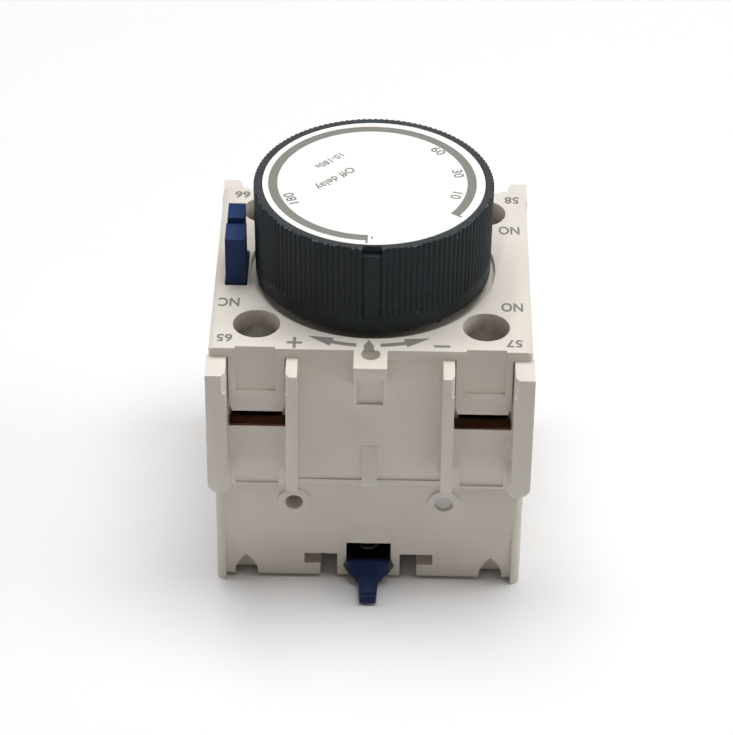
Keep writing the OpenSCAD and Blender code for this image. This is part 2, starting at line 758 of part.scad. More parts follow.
module drive_carriage() color(grey) place() {
    half = carriage_w / 2;
    finger = 2;
    finger_in = 0.2;
    difference() {
        union() {
            block([-half, -half, carriage_z0], [half, half, carriage_z1]);
            block([stem_x0, stem_y0, carriage_z0], [-half + 1, stem_y1, carriage_z1]);
            block([-hook_w / 2, -hook_d / 2, hook_z0 + 2], [hook_w / 2, hook_d / 2, carriage_z0 + eps]);
            block([-hook_w / 2, -hook_d / 2, hook_z0], [hook_w / 2, -hook_d / 2 + 2, hook_z0 + 2 + eps]);
            block([-hook_w / 2, hook_d / 2 - 2, hook_z0], [hook_w / 2, hook_d / 2, hook_z0 + 2 + eps]);
            disc(pedestal_r, carriage_z1 - eps, bellows_plate_z);
            for (s = [-1, 1]) translate([s * spring_seat_x, 0, 0])
                disc(spring_seat_r + 0.8, carriage_z1 - eps, spring_seat_z + 0.8);
        }
        for (s = [-1, 1]) translate([s * spring_seat_x, 0, 0])
            disc(spring_seat_r, carriage_z0 - 1, spring_seat_z);
    }
    four_corners() block([half - finger_in - finger, half - finger_in - finger, carriage_z1 - eps],
        [half - finger_in, half - finger_in, ring_z0 - 0.1]);
}

module position_indicator() color(navy) place() {
    low_z = plate_z + indicator_rise;
    high_z = low_z + indicator_step;
    slot = 0.35;
    difference() {
        union() {
            block([indicator_x0, indicator_y0, indicator_foot_z], [indicator_x1, indicator_split_y, low_z]);
            block([indicator_x0, indicator_split_y - eps, indicator_foot_z],
                [indicator_x1, indicator_y1, plate_z + 0.2]);
            block([indicator_x0 + 0.15, indicator_split_y - eps, plate_z],
                [indicator_x1 - 0.3, indicator_y1, high_z]);
        }
        translate([0, indicator_split_y, 0])
            block([indicator_x0 - 1, 0, low_z - 1.6], [indicator_x1 + 1, slot, high_z + 1]);
    }
    block([stem_x0, stem_y0, carriage_z1], [stem_x0 + stem_t, stem_y1, indicator_foot_z + 1]);
}

module return_springs() color(zinc) place()
    for (s = [-1, 1]) translate([s * spring_seat_x, 0, 0])
        coil(1.4, 0.22, floor_z + 0.03, spring_seat_z - 0.03, 6);

// ---- pneumatic delay -----------------------------------------------------

// A folded rubber tube between the plate on the carriage and the fixed head
module bellows() color(black) place() {
    skin = 0.6;
    fold = 1.5;
    z0 = bellows_z0 + 0.05;
    pitch = (head_z - 0.05 - z0) / bellows_folds;
    outer = [for (i = [0:bellows_folds - 1]) each [
        [bellows_r - fold, z0 + pitch * i], [bellows_r, z0 + pitch * (i + 0.5)]]];
    outer_top = [[bellows_r - fold, z0 + pitch * bellows_folds]];
    profile = concat(outer, outer_top);
    n = len(profile);
    inner = [for (i = [n - 1:-1:0]) [profile[i][0] - skin, profile[i][1]]];
    rotate_extrude($fn = fine) polygon(concat(profile, inner));
}

module bellows_plate() color(zinc) place() disc(bellows_r - 0.8, bellows_plate_z, bellows_z0);

module air_head() color(grey) place() difference() {
    union() {
        disc(head_r, head_z, ceiling_z);
        disc(neck_r, ceiling_z - eps, neck_z);
    }
    disc(spindle_r + 0.05, head_z - 1, neck_z + 1);
    // metering groove, and the two ports that it joins
    ring_sector(4, 4.8, neck_z - 0.4, neck_z + 1, knob_turn / 2, -90);
    for (turn = [60, 120]) rotate(turn) translate([4.4, 0, head_z - 1])
        cylinder(r = 0.3, h = neck_z - head_z + 2);
}

module air_filter() color([0.8, 0.78, 0.7]) place()
    tube(stop_r0 - 0.6, neck_r + 0.4, recess_z, recess_z + 1.1);

// ---- knob ----------------------------------------------------------------

module timing_disc() color(brass) place() difference() {
    disc(timing_disc_r, timing_disc_z, timing_disc_z + timing_disc_t);
    disc(spindle_r, timing_disc_z - 1, timing_disc_z + timing_disc_t + 1);
    rotate(90) translate([4.4, 0, timing_disc_z - 1]) cylinder(r = 0.35, h = timing_disc_t + 2);
}

module adjusting_spindle() color(zinc) place() difference() {
    disc(spindle_r, spindle_z0, knob_ceiling_z - 1);
    tube(spindle_r + 1, spindle_r - 0.5, clip_z0, clip_z0 + clip_t);
}

module spindle_clip() color(zinc) place() difference() {
    tube(spindle_r + 1.6, spindle_r - 0.5, clip_z0 + 0.02, clip_z0 + clip_t - 0.02);
    block([0, -0.9, clip_z0 - 1], [spindle_r + 3, 0.9, clip_z0 + 2]);
}

module knob_spring() color(zinc) place()
    coil(4.75, 0.3, timing_disc_z + timing_disc_t + 0.03, knob_ceiling_z - 0.03, 5, 6, 16);

module timing_knob() color(charcoal) place() {
    rim = 0.2;
    notch_w = 2.8;
    notch_h = 1.2;
    notch_depth = 0.9;
    difference() {
        union() {
            disc(knob_r, knob_z0, knob_z1 - rim);
            translate([0, 0, knob_z1 - rim]) rotate_extrude($fn = fine)
                polygon([[0, 0], [knob_r, 0], [knob_r - rim, rim], [0, rim]]);
        }
        disc(knob_in_r, knob_z0 - 1, knob_ceiling_z);
        disc(dial_r + slip, dial_z0 - 0.02, knob_z1 + 1);
        // the mark at the front: a notch in the rim
        translate([0, -knob_r, knob_z1])
            block([-notch_w / 2, -1, -notch_h], [notch_w / 2, notch_depth, 1]);
    }
    tube(hub_r, spindle_r, hub_z0, knob_ceiling_z + eps);
    ring_sector(stop_r0, knob_in_r + eps, knob_z0 + 0.4, stop_z1, stop_tab_half,
        90 + stop_peg_half + stop_tab_half + stop_gap);
}

module dial_disc() color("white") place() disc(dial_r, dial_z0, dial_z0 + dial_t);

// ---- latch ---------------------------------------------------------------

// The latch slides up in its pocket; its tongue tapers to a tip in front of the wall
module release_latch() color(navy) place() {
    body_x = window_w / 2 - 0.18;
    neck_x = 2.5;
    flange_x = neck_x + 0.45;
    neck_y0 = -base_d / 2 - 0.05;
    neck_y1 = -base_in_y - 0.2;
    top_z = latch_top_z - 0.1;
    foot_z = 0.5;
    taper_y = neck_y0 - 1.2;
    block([-body_x, neck_y1 - eps, latch_body_z0], [body_x, -latch_pocket_y - 0.2, latch_top_z]);
    block([-1.6, neck_y1, 0.9], [1.6, neck_y1 + 3.2, latch_body_z0 + eps]);
    block([-neck_x, neck_y0 - eps, 1.6], [neck_x, neck_y1, top_z]);
    // the tapering front, cut to its outlines from above, from the side and from the front
    intersection() {
        linear_extrude(6) polygon([
            [-flange_x, neck_y0], [-flange_x, neck_y0 - 0.4], [-1.4, taper_y],
            [-latch_tip_w / 2, -latch_front_y], [latch_tip_w / 2, -latch_front_y],
            [1.4, taper_y], [flange_x, neck_y0 - 0.4], [flange_x, neck_y0]
        ]);
        along_x(-5, 5) polygon([
            [neck_y0, top_z], [neck_y0 - 0.4, top_z], [taper_y - 0.4, 2.5],
            [-latch_front_y, 1.7], [-latch_front_y, foot_z], [neck_y0, foot_z + 0.4]
        ]);
        along_y(-latch_front_y - 1, neck_y0) polygon([
            [-flange_x, 6], [-flange_x, 2.6], [-1.4, 0.8], [-1.4, 0], [1.4, 0], [1.4, 0.8],
            [flange_x, 2.6], [flange_x, 6]
        ]);
    }
    // the raised thumb rib along the tongue
    intersection() {
        translate([0, taper_y, 0]) linear_extrude(6) {
            circle(r = 0.7);
            translate([-0.7, latch_tip_w - 6]) square([1.4, 6 - latch_tip_w]);
        }
        along_x(-1, 1) polygon([
            [taper_y + 0.8, 2.9], [taper_y - 0.2, 2.9], [-latch_front_y + 0.4, 2.05],
            [-latch_front_y + 0.4, 1.2], [taper_y + 0.8, 1.2]
        ]);
    }
}

module latch_spring() color(zinc) place()
    translate([0, latch_spring_y, 0]) coil(1.25, 0.22, latch_top_z + 0.03, latch_pocket_z - 0.03, 6, 6, 12);

// ---- nodes ---------------------------------------------------------------

base_housing();
upper_housing();
assembly_pins();
terminal(-1, -1);  // terminal_front_left
terminal(1, -1);  // terminal_front_right
terminal(-1, 1);  // terminal_rear_left
terminal(1, 1);  // terminal_rear_right
clamp(-1, -1);  // clamp_front_left
clamp(1, -1);  // clamp_front_right
clamp(-1, 1);  // clamp_rear_left
clamp(1, 1);  // clamp_rear_right
screw(-1, -1);  // screw_front_left
screw(1, -1);  // screw_front_right
screw(-1, 1);  // screw_rear_left
screw(1, 1);  // screw_rear_right
fixed_contact_tips();
contact_carrier();
bridge_closed();
bridge_open();
contact_spring_closed();
contact_spring_open();
moving_contact_tips();
drive_carriage();
position_indicator();
return_springs();
bellows();
bellows_plate();
air_head();
air_filter();
timing_disc();
adjusting_spindle();
spindle_clip();
knob_spring();
timing_knob();
dial_disc();
release_latch();
latch_spring();
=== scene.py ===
"""Looks of a clip-on time delay contact block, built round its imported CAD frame.

The frame is in metres, +Z up, -Y front. Lengths here are in millimetres and angles in degrees, unless said.
"""

import json
import math

import bmesh
import bpy
from mathutils import Matrix, Vector


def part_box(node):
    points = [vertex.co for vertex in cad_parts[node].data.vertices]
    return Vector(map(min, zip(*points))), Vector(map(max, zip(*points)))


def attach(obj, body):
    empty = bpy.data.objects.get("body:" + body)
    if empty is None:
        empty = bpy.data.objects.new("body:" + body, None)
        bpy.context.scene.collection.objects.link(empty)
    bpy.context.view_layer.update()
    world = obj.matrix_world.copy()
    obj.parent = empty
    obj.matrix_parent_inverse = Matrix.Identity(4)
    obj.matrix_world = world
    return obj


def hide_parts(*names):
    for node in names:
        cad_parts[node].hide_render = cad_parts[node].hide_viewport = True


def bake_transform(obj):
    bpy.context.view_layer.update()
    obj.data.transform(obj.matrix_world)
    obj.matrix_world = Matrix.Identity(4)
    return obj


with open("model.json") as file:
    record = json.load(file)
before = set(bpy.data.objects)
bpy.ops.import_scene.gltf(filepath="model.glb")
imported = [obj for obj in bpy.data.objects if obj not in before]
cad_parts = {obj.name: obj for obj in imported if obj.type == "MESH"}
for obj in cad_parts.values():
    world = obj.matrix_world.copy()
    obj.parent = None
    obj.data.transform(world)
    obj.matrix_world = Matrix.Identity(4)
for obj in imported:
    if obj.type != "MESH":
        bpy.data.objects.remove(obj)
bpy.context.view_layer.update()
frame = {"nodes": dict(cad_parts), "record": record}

MM = 0.001
NODES = frame["nodes"]
RECORD = frame["record"]


# ---- places taken from the frame -------------------------------------------

def box_mm(node_name):
    """(lowest, highest) corner of a CAD node in millimetres."""
    low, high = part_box(node_name)
    return low / MM, high / MM


KNOB_LOW, KNOB_HIGH = box_mm("timing_knob")
DIAL_LOW, DIAL_HIGH = box_mm("dial_disc")
LATCH_LOW, LATCH_HIGH = box_mm("release_latch")
AXIS_Y = (KNOB_LOW.y + KNOB_HIGH.y) / 2  # the knob turns about the vertical through (0, AXIS_Y)
KNOB_R = (KNOB_HIGH.x - KNOB_LOW.x) / 2
KNOB_FOOT = KNOB_LOW.z
KNOB_TOP = KNOB_HIGH.z
KNOB_RISE = KNOB_TOP - KNOB_FOOT
DIAL_R = (DIAL_HIGH.x - DIAL_LOW.x) / 2
PLATE_Z = 41.0  # the top plate round the knob, which is no edge of a box; plate_z in part.scad


# ---- camera, light and stage -----------------------------------------------

ELEVATION, AZIMUTH, ROLL = 36.55, 0.61, 0.60
AIM = Vector((-0.75, AXIS_Y, 23.58))
DISTANCE = 414.27
LENS = 142.35
SENSOR = 36

LAMP_AIM = Vector((0, 0, 0.02))
LAMPS = (  # name, place (metres), size (metres), watts, colour
    ("key", (0.05, 0.1, 0.85), (0.8, 0.6), 7.7, (0.975, 0.985, 1.0)),
    ("left", (-0.75, 0.1, 0.5), (0.4, 0.5), 0.8, (0.97, 0.985, 1.0)),
    ("right", (0.75, 0.05, 0.5), (0.4, 0.5), 1.7, (1.0, 0.99, 0.97)))

ROOM_SEEN = (0.985, 0.985, 0.99, 1)
ROOM_LIGHT = (1.0, 0.9, 0.82, 1)
ROOM_STRENGTH = 0.125

FLOOR_COLOUR = (0.92, 0.92, 0.925, 1)
FLOOR_HALF = 2.0  # metres, to the left and right and towards the camera
CURL_START = 1.2  # metres behind the object
CURL_RADIUS = 0.5
CURL_STEPS = 12
BACKDROP_TOP = 2.0  # metres


def make_camera():
    """The photograph's viewpoint: above and in front, a long lens, barely turned."""
    elevation, azimuth, roll = map(math.radians, (ELEVATION, AZIMUTH, ROLL))
    level = Vector((math.cos(azimuth), math.sin(azimuth), 0))
    back = Vector((math.sin(azimuth) * math.cos(elevation), -math.cos(azimuth) * math.cos(elevation),
                   math.sin(elevation)))
    right = level * math.cos(roll) + back.cross(level) * math.sin(roll)
    place = Matrix((right, back.cross(right), back)).transposed().to_4x4()
    place.translation = (AIM + back * DISTANCE) * MM
    data = bpy.data.cameras.new("camera")
    data.lens = LENS
    data.sensor_width = SENSOR
    data.clip_start = 0.01
    camera = bpy.data.objects.new("camera", data)
    camera.matrix_world = place
    bpy.context.scene.collection.objects.link(camera)
    bpy.context.scene.camera = camera


def make_lamps():
    """Soft boxes: one overhead, a little behind the object, and a weak one at each side."""
    for name, place, size, watts, colour in LAMPS:
        data = bpy.data.lights.new(name, "AREA")
        data.shape = "RECTANGLE"
        data.size, data.size_y = size
        data.energy = watts
        data.color = colour
        lamp = bpy.data.objects.new(name, data)
        lamp.location = place
        lamp.rotation_euler = (LAMP_AIM - Vector(place)).to_track_quat("-Z", "Y").to_euler()
        bpy.context.scene.collection.objects.link(lamp)


def make_world():
    """A dim, warm room that shows as white to the camera."""
    world = bpy.data.worlds.new("room")
    bpy.context.scene.world = world
    world.use_nodes = True
    tree = world.node_tree
    tree.nodes.clear()
    out = node(tree, "ShaderNodeOutputWorld")
    mix = node(tree, "ShaderNodeMixShader")
    path = node(tree, "ShaderNodeLightPath")
    seen = node(tree, "ShaderNodeBackground", Color=ROOM_SEEN, Strength=1)
    lit = node(tree, "ShaderNodeBackground", Color=ROOM_LIGHT, Strength=ROOM_STRENGTH)
    tree.links.new(path.outputs["Is Camera Ray"], mix.inputs[0])
    tree.links.new(lit.outputs[0], mix.inputs[1])
    tree.links.new(seen.outputs[0], mix.inputs[2])
    tree.links.new(mix.outputs[0], out.inputs[0])


def make_floor():
    """A wide sheet that curls up behind the object, pale and slightly glossy."""
    profile = [(-FLOOR_HALF, 0.0), (CURL_START, 0.0)]
    for i in range(1, CURL_STEPS + 1):
        a = math.radians(90 * i / CURL_STEPS)
        profile.append((CURL_START + CURL_RADIUS * math.sin(a), CURL_RADIUS * (1 - math.cos(a))))
    profile.append((CURL_START + CURL_RADIUS, BACKDROP_TOP))
    mesh = bpy.data.meshes.new("floor")
    bm = bmesh.new()
    rows = [[bm.verts.new((x, y, z)) for x in (-FLOOR_HALF, FLOOR_HALF)] for y, z in profile]
    for near, far in zip(rows, rows[1:]):
        bm.faces.new((near[0], near[1], far[1], far[0])).smooth = True
    bm.to_mesh(mesh)
    bm.free()
    material, shader, _ = new_material("floor_white")
    set_inputs(shader, {"Base Color": FLOOR_COLOUR, "Roughness": 0.3, "Specular IOR Level": 0.3})
    mesh.materials.append(material)
    floor = bpy.data.objects.new("floor", mesh)
    bpy.context.scene.collection.objects.link(floor)


# ---- shader helpers --------------------------------------------------------

def srgb(r, g, b):
    """A colour written as 0 to 255 on screen, as the linear values a shader takes."""
    shares = [c / 255 for c in (r, g, b)]
    return tuple(s / 12.92 if s <= 0.04045 else ((s + 0.055) / 1.055) ** 2.4 for s in shares) + (1,)


def new_material(name):
    """(material, its shader, its node tree)."""
    material = bpy.data.materials.new(name)
    material.use_nodes = True
    tree = material.node_tree
    return material, tree.nodes["Principled BSDF"], tree


def set_inputs(made, values):
    for name, value in values.items():
        made.inputs[name].default_value = value


def node(tree, kind, **values):
    """A new node; each value sets the property of that name, or else the input."""
    made = tree.nodes.new(kind)
    for name, value in values.items():
        if hasattr(made, name):
            setattr(made, name, value)
        else:
            made.inputs[name].default_value = value
    return made


def object_place(tree):
    return node(tree, "ShaderNodeTexCoord").outputs["Object"]


def noise(tree, kind, stretch=None):
    """Noise in object space, of a kind listed under materials; stretch squeezes it along an axis."""
    scale, detail, roughness = kind
    place = object_place(tree)
    if stretch:
        mapping = node(tree, "ShaderNodeMapping", Scale=stretch)
        tree.links.new(place, mapping.inputs["Vector"])
        place = mapping.outputs[0]
    made = node(tree, "ShaderNodeTexNoise", Scale=scale, Detail=detail, Roughness=roughness)
    tree.links.new(place, made.inputs["Vector"])
    return made.outputs["Fac"]


def ramp(tree, source, stops):
    """Colours for a source, from (place, colour) stops."""
    made = node(tree, "ShaderNodeValToRGB")
    for element, (place, colour) in zip(made.color_ramp.elements, stops):
        element.position = place
        element.color = colour
    tree.links.new(source, made.inputs[0])
    return made.outputs[0]


def spread(tree, source, low, high, bottom, top):
    """The source's range low to high, mapped to bottom to top and held there outside it."""
    made = node(tree, "ShaderNodeMapRange")
    set_inputs(made, {"From Min": low, "From Max": high, "To Min": bottom, "To Max": top})
    tree.links.new(source, made.inputs["Value"])
    return made.outputs["Result"]


def arithmetic(tree, operation, a, b=None):
    """A Math node on a source and a second source or a number."""
    made = node(tree, "ShaderNodeMath", operation=operation)
    tree.links.new(a, made.inputs[0])
    if isinstance(b, (int, float)):
        made.inputs[1].default_value = b
    elif b is not None:
        tree.links.new(b, made.inputs[1])
    return made.outputs[0]


def blend_colour(tree, colour, other, mask):
    """A colour source turning into another colour where the mask is 1."""
    made = node(tree, "ShaderNodeMix", data_type="RGBA")
    tree.links.new(mask, made.inputs["Factor"])
    tree.links.new(colour, made.inputs[6])
    made.inputs[7].default_value = other
    return made.outputs[2]


def bump(tree, shader, heights):
    """Bumps one on another: (height source, depth in metres) pairs."""
    last = None
    for source, depth in heights:
        made = node(tree, "ShaderNodeBump", Strength=1.0, Distance=depth)
        tree.links.new(source, made.inputs["Height"])
        if last is not None:
            tree.links.new(last, made.inputs["Normal"])
        last = made.outputs["Normal"]
    tree.links.new(last, shader.inputs["Normal"])


def near_height(tree, level, reach):
    """1 at a height over the floor, falling to 0 at a distance above and below it."""
    place = node(tree, "ShaderNodeSeparateXYZ")
    tree.links.new(object_place(tree), place.inputs[0])
    above = arithmetic(tree, "SUBTRACT", place.outputs["Z"], level * MM)
    return spread(tree, arithmetic(tree, "ABSOLUTE", above), 0.0, reach * MM, 1.0, 0.0)


def dust(tree):
    """Scattered grains, one in each cell."""
    cells = node(tree, "ShaderNodeTexVoronoi", Scale=DUST_CELLS)
    tree.links.new(object_place(tree), cells.inputs["Vector"])
    return spread(tree, cells.outputs["Distance"], DUST_SIZE, DUST_SIZE * 2, DUST_SHOWS, 0.0)


# ---- materials -------------------------------------------------------------

CLOUDS = (90, 4, 0.6)  # the kinds of noise: features per metre, detail, roughness
GLOSS = (700, 4, 0.7)
GRAIN = (9000, 2, 0.5)
FLOW = (220, 2, 0.5)
PATCHES = (400, 4, 0.65)
SCRATCHES = (2500, 3, 0.6)
FIBRES = (3500, 6, 0.75)
SPECKLE = (2600, 4, 0.7)
WEAR_AND_HIGHLIGHT = (900, 5, 0.75)

FLOW_DEPTH = 6e-6  # metres, as are the grains' depths
SCRATCH_DEPTH = 3e-6
FELT_DEPTH = 6e-5
INK_DEPTH = 1e-6

SCUFF_HIGHLIGHT_DROP, SCUFF_HIGHLIGHT_REACH = 0.12, 0.13  # the painted highlight on the rim's top: its middle above the knob's top, and its reach
RIM_HIGHLIGHT_LIFT, RIM_HIGHLIGHT_REACH = 0.05, 0.09  # the rubbed rim's, above it
DUST_CELLS = 210  # a metre
DUST_SIZE = 0.022  # of a cell
DUST_SHOWS = 0.8
LATCH_CLEAR = 0.42  # share of the latch's length that stands clear of its pocket
# the painted shade's fade past the pocket's mouth
POCKET_FADE = 0.5

PLASTICS = (  # slot, material, colour, its darker clouds, roughness, grain's depth, specular
    ("housing", "housing_white", (226, 220, 211), (221, 214, 204), 0.5, 2e-6, 0.25),
    ("knob_charcoal", "knob_charcoal", (44, 50, 53), (38, 43, 46), 0.5, 3e-6, 0.14),
    ("dial_white", "dial_white", (243, 242, 240), (239, 238, 236), 0.4, 1e-6, 0.2),
    ("navy_plastic", "navy_plastic", (39, 59, 104), (33, 50, 91), 0.5, 3e-6, 0.18),
    ("grey_plastic", "grey_plastic", (150, 152, 154), (140, 142, 144), 0.5, 2e-6, 0.25),
    ("pin_grey", "pin_grey", (214, 213, 210), (204, 203, 200), 0.4, 2e-6, 0.3),
    ("black_plastic", "black_plastic", (38, 38, 40), (32, 32, 34), 0.5, 4e-6, 0.45),
    ("bellows_rubber", "bellows_rubber", (30, 30, 31), (24, 24, 25), 0.65, 5e-6, 0.45))
METALS = (  # slot, material, colour, its dull patches, roughness, stretch of the scratches
    # painted shade: brass and copper are far darker than bare metal, toned to how they look in the shade of
    # the terminal slots
    ("brass", "terminal_brass", (92, 60, 44), (64, 40, 30), 0.5, (1, 8, 1)),
    ("copper", "clamp_copper", (84, 52, 38), (58, 36, 27), 0.5, (8, 1, 1)),
    ("zinc", "zinc_plate", (200, 202, 205), (170, 173, 178), 0.28, (1, 1, 1)),
    ("silver", "contact_silver", (225, 223, 218), (196, 192, 184), 0.3, (1, 1, 1)),
    ("spring_steel", "spring_steel", (128, 127, 126), (98, 97, 96), 0.35, (1, 1, 1)))

MATERIALS = {}


def make_materials():
    """One material for each slot of the record, and the prints' ink."""
    for slot, name, *look in PLASTICS:
        MATERIALS[slot] = moulded(name, *look)[0]
    for slot, name, *look in METALS:
        MATERIALS[slot] = metal(name, *look)
    MATERIALS["felt"] = felt()
    MATERIALS["print_grey"] = ink()


def moulded(name, colour, shade, rough, grain, specular):
    """Moulded plastic: faint flow clouds in the colour, fine spark-eroded grain, uneven gloss.

    Gives (material, its shader, its tree, its colour's source).
    """
    material, shader, tree = new_material(name)
    tint = ramp(tree, noise(tree, CLOUDS), [(0.3, srgb(*shade)), (0.7, srgb(*colour))])
    tree.links.new(tint, shader.inputs["Base Color"])
    gloss = spread(tree, noise(tree, GLOSS), 0.3, 0.7, rough - 0.05, rough + 0.06)
    tree.links.new(gloss, shader.inputs["Roughness"])
    shader.inputs["Specular IOR Level"].default_value = specular
    bump(tree, shader, [(noise(tree, GRAIN), grain), (noise(tree, FLOW), FLOW_DEPTH)])
    return material, shader, tree, tint


def metal(name, colour, dull, rough, stretch):
    """Stamped, drawn or turned metal: fine scratches, dull patches."""
    material, shader, tree = new_material(name)
    patches = noise(tree, PATCHES)
    tint = ramp(tree, patches, [(0.35, srgb(*dull)), (0.65, srgb(*colour))])
    tree.links.new(tint, shader.inputs["Base Color"])
    shader.inputs["Metallic"].default_value = 1.0
    tree.links.new(spread(tree, patches, 0.3, 0.7, rough + 0.12, rough), shader.inputs["Roughness"])
    bump(tree, shader, [(noise(tree, SCRATCHES, stretch), SCRATCH_DEPTH)])
    return material


def felt():
    """Pale pressed fibres."""
    material, shader, tree = new_material("felt")
    fibres = noise(tree, FIBRES)
    tint = ramp(tree, fibres, [(0.3, srgb(176, 170, 152)), (0.7, srgb(214, 208, 192))])
    tree.links.new(tint, shader.inputs["Base Color"])
    set_inputs(shader, {"Roughness": 0.95, "Sheen Weight": 0.3})
    bump(tree, shader, [(fibres, FELT_DEPTH)])
    return material


def ink():
    """Pad-printed grey ink, a little uneven."""
    material, shader, tree = new_material("print_grey")
    speckle = noise(tree, SPECKLE)
    tint = ramp(tree, speckle, [(0.25, srgb(140, 138, 132)), (0.75, srgb(128, 126, 120))])
    tree.links.new(tint, shader.inputs["Base Color"])
    set_inputs(shader, {"Roughness": 0.6, "Specular IOR Level": 0.15})
    bump(tree, shader, [(speckle, INK_DEPTH)])
    return material


def knob_material():
    """Charcoal moulding, dusty, with a highlight painted on its rim's top and pale patches on its top
    corner, partly scuffing by hands and boxes and partly painted highlight.
    """
    material, shader, tree, tint = moulded("knob_ribbed", (47, 54, 57), (41, 46, 49), 0.5, 3e-6, 0.14)
    # partly painted highlight: pale patches along the top corner, part scuffing and part the light's shine
    # on the edge
    band = near_height(tree, KNOB_TOP - SCUFF_HIGHLIGHT_DROP, SCUFF_HIGHLIGHT_REACH)
    wear_and_highlight_spots = spread(tree, noise(tree, WEAR_AND_HIGHLIGHT), 0.48, 0.6, 0.0, 0.85)
    scuffs_and_highlight = blend_colour(tree, tint, srgb(150, 156, 160), arithmetic(tree, "MULTIPLY", band, wear_and_highlight_spots))
    dusty = blend_colour(tree, scuffs_and_highlight, srgb(120, 124, 124), dust(tree))
    # painted highlight: the rim's top is lighter, standing in for the shine of the light from above and
    # behind
    rim = near_height(tree, KNOB_TOP + RIM_HIGHLIGHT_LIFT, RIM_HIGHLIGHT_REACH)
    tree.links.new(blend_colour(tree, dusty, srgb(78, 81, 84), rim), shader.inputs["Base Color"])
    return material


def latch_material(latch):
    """The latch's navy, a darker copy of the navy plastic for the shade it stands in, turning to painted
    near-black shade where it stands inside its pocket.
    """
    # painted shade: a darker navy than navy_plastic, for the shade the latch stands in at the foot
    material, shader, tree, tint = moulded("navy_latch", (32, 49, 86), (27, 42, 75), 0.5, 3e-6, 0.14)
    tip = min(v.co.y for v in latch.data.vertices)
    pocket = tip + (LATCH_HIGH.y - LATCH_LOW.y) * LATCH_CLEAR * MM
    place = node(tree, "ShaderNodeSeparateXYZ")
    tree.links.new(object_place(tree), place.inputs[0])
    # painted shade: near black past the pocket's mouth, where the latch stands in shade
    depth = spread(tree, place.outputs["Y"], pocket, pocket + POCKET_FADE * MM, 0.0, 1.0)
    tree.links.new(blend_colour(tree, tint, srgb(9, 10, 12), depth), shader.inputs["Base Color"])
    return material


# ---- mesh helpers ----------------------------------------------------------

def mesh_from(name, verts, faces):
    """A mesh from points in millimetres."""
    mesh = bpy.data.meshes.new(name)
    mesh.from_pydata([Vector(v) * MM for v in verts], [], faces)
    mesh.update()
    return mesh


def smooth_below(mesh, degrees):
    """Shades a mesh smooth, but for its edges over an angle."""
    mesh.shade_smooth()
    bm = bmesh.new()
    bm.from_mesh(mesh)
    limit = math.radians(degrees)
    for edge in bm.edges:
        if len(edge.link_faces) == 2 and edge.calc_face_angle(0) > limit:
            edge.smooth = False
    bm.to_mesh(mesh)
    bm.free()


def add_piece(mesh, material, slot, body, *nodes, upper=None, low=0.0, high=0.0):
    """Links a mesh as a piece on a body, standing for the CAD nodes named.

    With an upper body it is left where it stands, on no body; it does not stretch. Low and high are not
    used.
    """
    mesh.materials.append(material)
    piece = bpy.data.objects.new(mesh.name, mesh)
    bpy.context.scene.collection.objects.link(piece)
    if upper:
        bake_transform(piece)
    else:
        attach(piece, body)
    if nodes:
        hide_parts(*nodes)


def body_of(node_name):
    return next(body for body, nodes in RECORD["behaviour"]["bodies"].items() if node_name in nodes)


# ---- CAD nodes that show ---------------------------------------------------

HOUSING_EDGE = 0.14
NAVY_EDGE = 0.16
SHARP_ANGLE = 30
WELD = 2e-6  # metres
FLAT_ANGLE = 0.5


def soften(obj, width):
    """Rounds a CAD node's edges: weld the split points, merge flat faces, bevel, and keep flats flat."""
    weld = obj.modifiers.new("weld", "WELD")
    weld.merge_threshold = WELD
    flat = obj.modifiers.new("flat", "DECIMATE")
    flat.decimate_type = "DISSOLVE"
    flat.angle_limit = math.radians(FLAT_ANGLE)
    bevel = obj.modifiers.new("bevel", "BEVEL")
    bevel.width = width * MM
    bevel.segments = 2
    bevel.limit_method = "ANGLE"
    bevel.angle_limit = math.radians(SHARP_ANGLE)
    bevel.harden_normals = True
    bevel.use_clamp_overlap = True
    obj.data.shade_smooth()


def finish_cad_nodes():
    """Every CAD node gets its slot's material, and the large outer ones softened edges."""
    for part in RECORD["subparts"]:
        materials = NODES[part["node"]].data.materials
        materials.clear()
        materials.append(MATERIALS[part["material_slot"]])
    latch = NODES["release_latch"]
    latch.data.materials.clear()
    latch.data.materials.append(latch_material(latch))
    for node_name in ("upper_housing", "base_housing"):
        soften(NODES[node_name], HOUSING_EDGE)
    for node_name in ("position_indicator", "release_latch"):
        soften(NODES[node_name], NAVY_EDGE)


# ---- knob ------------------------------------------------------------------

RIBS = 126
STEPS_A_RIB = 10
RIB_DEPTH = 0.2
RIB_FOOT = 2.5  # height over the knob's foot at which the ribs start
RIB_FADE = 0.5  # further height over which they reach their depth
KNOB_DRAFT = 0.12
PAD_HALF = 1.05  # half of the plain pad at the front, round the side
PAD_SINK = 0.03
PAD_GROOVE = 0.22  # width of the groove at each side of the pad
PAD_GROOVE_DEPTH = 0.3
NOTCH_HALF = 1.34  # the notch over the pad
NOTCH_RISE = 1.2
NOTCH_DEPTH = 0.8
NOTCH_LOW = KNOB_RISE - NOTCH_RISE
TEETH = 21  # small teeth hanging from the foot, each under a slit in the plain band
TOOTH_DROP = 0.3
TOOTH_HALF = 0.3
TOOTH_SLOPE = 1.2
SLIT_DEPTH = 0.05
SLIT_SHARE = 0.012  # of the teeth's pitch
SLIT_CLEAR = 0.02  # a deeper groove takes a slit's place
FOOT_INSET = 0.1
